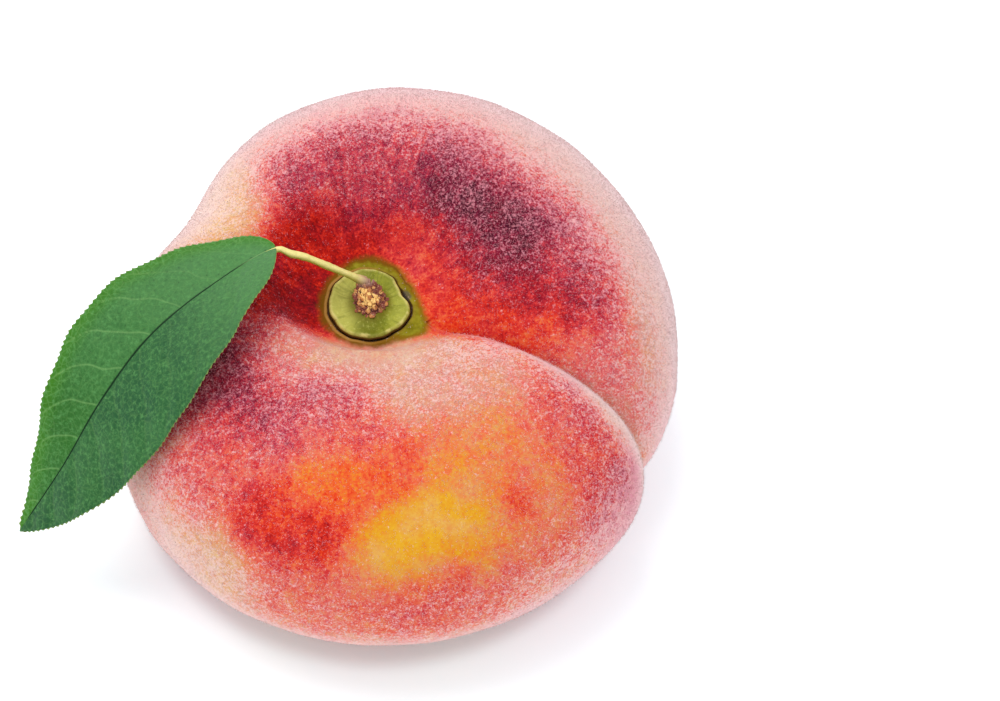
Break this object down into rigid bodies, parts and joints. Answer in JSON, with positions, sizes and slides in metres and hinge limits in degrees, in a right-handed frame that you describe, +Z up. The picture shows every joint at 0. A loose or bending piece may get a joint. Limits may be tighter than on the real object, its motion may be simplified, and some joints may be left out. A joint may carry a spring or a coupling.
{
  "type": "flat peach with a leaf",
  "caption": "Flat, doughnut-shaped peach with a deep suture, a sunken green stem collar with a broken woody stub, and a leaf on its stalk.",
  "frame": {"origin": "on the surface that the fruit rests on, under the middle of the whole peach's box, leaf included", "axes": "+Z up along the stem axis; the suture runs from the stem towards +X and a little towards -Y; the leaf hangs towards -X and -Y; the tall lobe is on the +Y side"},
  "size_m": [0.083, 0.0786, 0.0415],
  "materials": {
    "fruit_skin": "fuzzy matt skin, yellow under red and maroon blush, with a pale bloom of down",
    "collar_green": "waxy yellow-green, with a brown cracked edge",
    "stub_wood": "broken dark brown wood with tan fibres",
    "leaf_green": "satin green blade with fine pale veins, on a pale yellow-green stalk"
  },
  "bodies": {
    "root": {"fruit": "fruit_skin", "stem_collar": "collar_green", "stem_stub": "stub_wood", "leaf": "leaf_green"}
  },
  "joints": []
}
